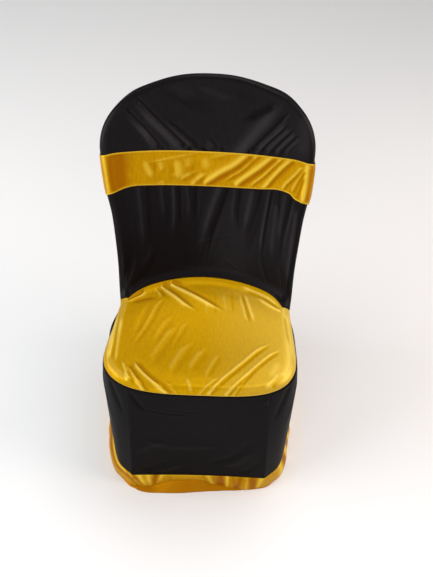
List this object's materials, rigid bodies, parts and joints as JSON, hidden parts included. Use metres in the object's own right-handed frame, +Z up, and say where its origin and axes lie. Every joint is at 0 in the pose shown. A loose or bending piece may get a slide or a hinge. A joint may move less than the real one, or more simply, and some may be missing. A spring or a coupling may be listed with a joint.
{
  "type": "chair cover with sash",
  "caption": "Fitted stretch cover for an armless stacking chair: black hood and skirt, gold seat panel, gold sash round the back and gold hem band.",
  "frame": {"origin": "middle of the cover's footprint, on the floor", "axes": "+Z up; the front of the cover looks along -Y; +X is on the right when seen from the front"},
  "size_m": [0.5048, 0.5668, 0.857],
  "materials": {
    "black_satin": "black stretch satin, soft sheen",
    "gold_satin": "gold stretch satin, glossy along its folds"
  },
  "bodies": {
    "root": {"hood_front": "black_satin", "rear_panel": "black_satin", "sash": "gold_satin", "seat_panel": "gold_satin", "skirt_front": "black_satin", "skirt_left": "black_satin", "skirt_right": "black_satin", "hem_band": "gold_satin"}
  },
  "joints": []
}
